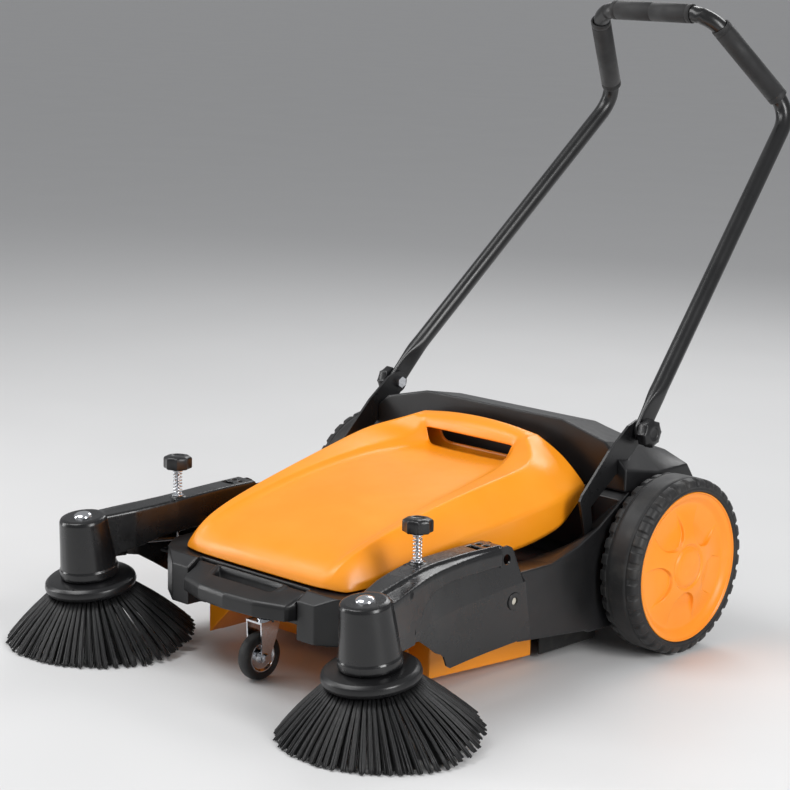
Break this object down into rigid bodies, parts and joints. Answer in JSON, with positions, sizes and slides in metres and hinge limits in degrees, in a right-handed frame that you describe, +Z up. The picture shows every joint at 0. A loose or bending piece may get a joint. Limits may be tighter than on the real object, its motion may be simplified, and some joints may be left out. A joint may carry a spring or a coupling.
{
  "type": "walk behind sweeper",
  "caption": "Push sweeper with a lift-out bin under a sloped hood, main roller brush, tilting side brushes on arms, large drive wheels, front caster and folding U handle.",
  "frame": {"origin": "middle of the bounding box on the floor", "axes": "+X to the viewer's right when facing the front, -Y to the front with the side brushes, +Z up"},
  "size_m": [0.92, 1.2602, 1.0165],
  "materials": {
    "orange_body": "satin gloss",
    "orange_wheel": "satin gloss",
    "black_body": "satin",
    "black_arm": "satin",
    "black_trim": "satin",
    "black_metal": "semi-gloss powder coat",
    "grip_foam": "matt",
    "flap_rubber": "matt",
    "wheel_tyre": "matt",
    "belt_rubber": "matt",
    "bristle": "matt",
    "bright_metal": "polished",
    "steel": "brushed",
    "gear_plastic": "matt",
    "roller_core": "matt"
  },
  "bodies": {
    "chassis": {"chassis_tub": "black_body", "front_bumper": "black_body", "rear_cover": "black_body", "brush_tunnel": "black_trim", "rear_flap": "flap_rubber", "axle": "steel", "caster_plate": "bright_metal", "handle_bracket_r": "black_metal", "handle_bracket_l": "black_metal", "side_flap_r": "flap_rubber", "side_flap_l": "flap_rubber", "rest_pad_r": "steel", "rest_pad_l": "steel", "drive_belt_r": "belt_rubber", "drive_belt_l": "belt_rubber"},
    "main_brush": {"roller_core": "roller_core", "roller_bristles": "bristle"},
    "container": {"hood": "orange_body", "bin": "orange_body"},
    "handle": {"handle_tube_r": "black_metal", "handle_tube_l": "black_metal", "grip_r": "grip_foam", "grip_l": "grip_foam", "bar_sleeve": "grip_foam"},
    "caster_swivel": {"caster_fork": "bright_metal", "caster_axle": "bright_metal"},
    "caster_wheel": {"caster_tyre": "wheel_tyre", "caster_hub": "bright_metal"},
    "wheel_r": {"tyre_r": "wheel_tyre", "rim_r": "orange_wheel", "wheel_cap_r": "orange_wheel", "wheel_pulley_r": "gear_plastic"},
    "cross_shaft_r": {"cross_shaft_r": "gear_plastic"},
    "arm_r": {"arm_r": "black_arm", "head_bolt_r": "bright_metal", "adjust_spring_r": "bright_metal"},
    "arm_shaft_r": {"arm_shaft_r": "steel"},
    "side_brush_r": {"brush_disc_r": "black_arm", "brush_tufts_r": "bristle"},
    "adjuster_r": {"adjust_knob_r": "black_trim", "adjust_screw_r": "bright_metal"},
    "clamp_r": {"clamp_knob_r": "black_trim", "clamp_bolt_r": "bright_metal"},
    "wheel_l": {"tyre_l": "wheel_tyre", "rim_l": "orange_wheel", "wheel_cap_l": "orange_wheel", "wheel_pulley_l": "gear_plastic"},
    "cross_shaft_l": {"cross_shaft_l": "gear_plastic"},
    "arm_l": {"arm_l": "black_arm", "head_bolt_l": "bright_metal", "adjust_spring_l": "bright_metal"},
    "arm_shaft_l": {"arm_shaft_l": "steel"},
    "side_brush_l": {"brush_disc_l": "black_arm", "brush_tufts_l": "bristle"},
    "adjuster_l": {"adjust_knob_l": "black_trim", "adjust_screw_l": "bright_metal"},
    "clamp_l": {"clamp_knob_l": "black_trim", "clamp_bolt_l": "bright_metal"}
  },
  "joints": [
    {"name": "wheel_r_spin", "type": "hinge", "parent": "chassis", "child": "wheel_r", "pos_m": [0.329, 0.162, 0.143], "axis": [1, 0, 0], "continuous": true},
    {"name": "cross_shaft_r_spin", "type": "hinge", "parent": "chassis", "child": "cross_shaft_r", "pos_m": [0.272, -0.183, 0.14], "axis": [1, 0, 0], "continuous": true},
    {"name": "arm_r_tilt", "type": "hinge", "parent": "chassis", "child": "arm_r", "pos_m": [0.272, -0.183, 0.14], "axis": [-1, 0, 0], "range_deg": [0, 5]},
    {"name": "arm_shaft_r_spin", "type": "hinge", "parent": "arm_r", "child": "arm_shaft_r", "pos_m": [0.2714, -0.2095, 0.14], "axis": [0.1425, -0.9874, 0.069], "continuous": true},
    {"name": "side_brush_r_spin", "type": "hinge", "parent": "arm_r", "child": "side_brush_r", "pos_m": [0.313, -0.494, 0.012], "axis": [0, -0.1392, 0.9903], "continuous": true},
    {"name": "adjuster_r_turn", "type": "hinge", "parent": "arm_r", "child": "adjuster_r", "pos_m": [0.265, -0.367, 0.28], "axis": [0, 0, 1], "range_deg": [-2165, 5]},
    {"name": "clamp_r_turn", "type": "hinge", "parent": "chassis", "child": "clamp_r", "pos_m": [0.28, 0.142, 0.352], "axis": [1, 0, 0], "range_deg": [0, 1080]},
    {"name": "wheel_l_spin", "type": "hinge", "parent": "chassis", "child": "wheel_l", "pos_m": [-0.329, 0.162, 0.143], "axis": [1, 0, 0], "continuous": true},
    {"name": "cross_shaft_l_spin", "type": "hinge", "parent": "chassis", "child": "cross_shaft_l", "pos_m": [-0.272, -0.183, 0.14], "axis": [1, 0, 0], "continuous": true},
    {"name": "arm_l_tilt", "type": "hinge", "parent": "chassis", "child": "arm_l", "pos_m": [-0.272, -0.183, 0.14], "axis": [-1, 0, 0], "range_deg": [0, 5]},
    {"name": "arm_shaft_l_spin", "type": "hinge", "parent": "arm_l", "child": "arm_shaft_l", "pos_m": [-0.2714, -0.2095, 0.14], "axis": [-0.1425, -0.9874, 0.069], "continuous": true},
    {"name": "side_brush_l_spin", "type": "hinge", "parent": "arm_l", "child": "side_brush_l", "pos_m": [-0.313, -0.494, 0.012], "axis": [0, -0.1392, 0.9903], "continuous": true},
    {"name": "adjuster_l_turn", "type": "hinge", "parent": "arm_l", "child": "adjuster_l", "pos_m": [-0.265, -0.367, 0.28], "axis": [0, 0, 1], "range_deg": [-2165, 5]},
    {"name": "clamp_l_turn", "type": "hinge", "parent": "chassis", "child": "clamp_l", "pos_m": [-0.28, 0.142, 0.352], "axis": [-1, 0, 0], "range_deg": [0, 1080]},
    {"name": "main_brush_spin", "type": "hinge", "parent": "chassis", "child": "main_brush", "pos_m": [0, 0.032, 0.072], "axis": [1, 0, 0], "continuous": true},
    {"name": "handle_fold", "type": "hinge", "parent": "chassis", "child": "handle", "pos_m": [0, 0.142, 0.352], "axis": [1, 0, 0], "range_deg": [0, 110]},
    {"name": "container_lift", "type": "slide", "parent": "chassis", "child": "container", "axis": [0, 0, 1], "range_m": [0, 0.25]},
    {"name": "caster_swivel_turn", "type": "hinge", "parent": "chassis", "child": "caster_swivel", "pos_m": [0, -0.413, 0.1], "axis": [0, 0, 1], "continuous": true},
    {"name": "caster_wheel_spin", "type": "hinge", "parent": "caster_swivel", "child": "caster_wheel", "pos_m": [0, -0.431, 0.0375], "axis": [1, 0, 0], "continuous": true}
  ],
  "couplings": [
    {"joint": "cross_shaft_r_spin", "follows": "wheel_r_spin", "ratio": 2.6667},
    {"joint": "arm_shaft_r_spin", "follows": "wheel_r_spin", "ratio": 6.2222},
    {"joint": "side_brush_r_spin", "follows": "wheel_r_spin", "ratio": -3.5556},
    {"joint": "adjuster_r_turn", "follows": "arm_r_tilt", "ratio": -432},
    {"joint": "cross_shaft_l_spin", "follows": "wheel_l_spin", "ratio": 2.6667},
    {"joint": "arm_shaft_l_spin", "follows": "wheel_l_spin", "ratio": -6.2222},
    {"joint": "side_brush_l_spin", "follows": "wheel_l_spin", "ratio": 3.5556},
    {"joint": "adjuster_l_turn", "follows": "arm_l_tilt", "ratio": -432},
    {"joint": "main_brush_spin", "follows": "wheel_l_spin", "ratio": 2.5}
  ]
}
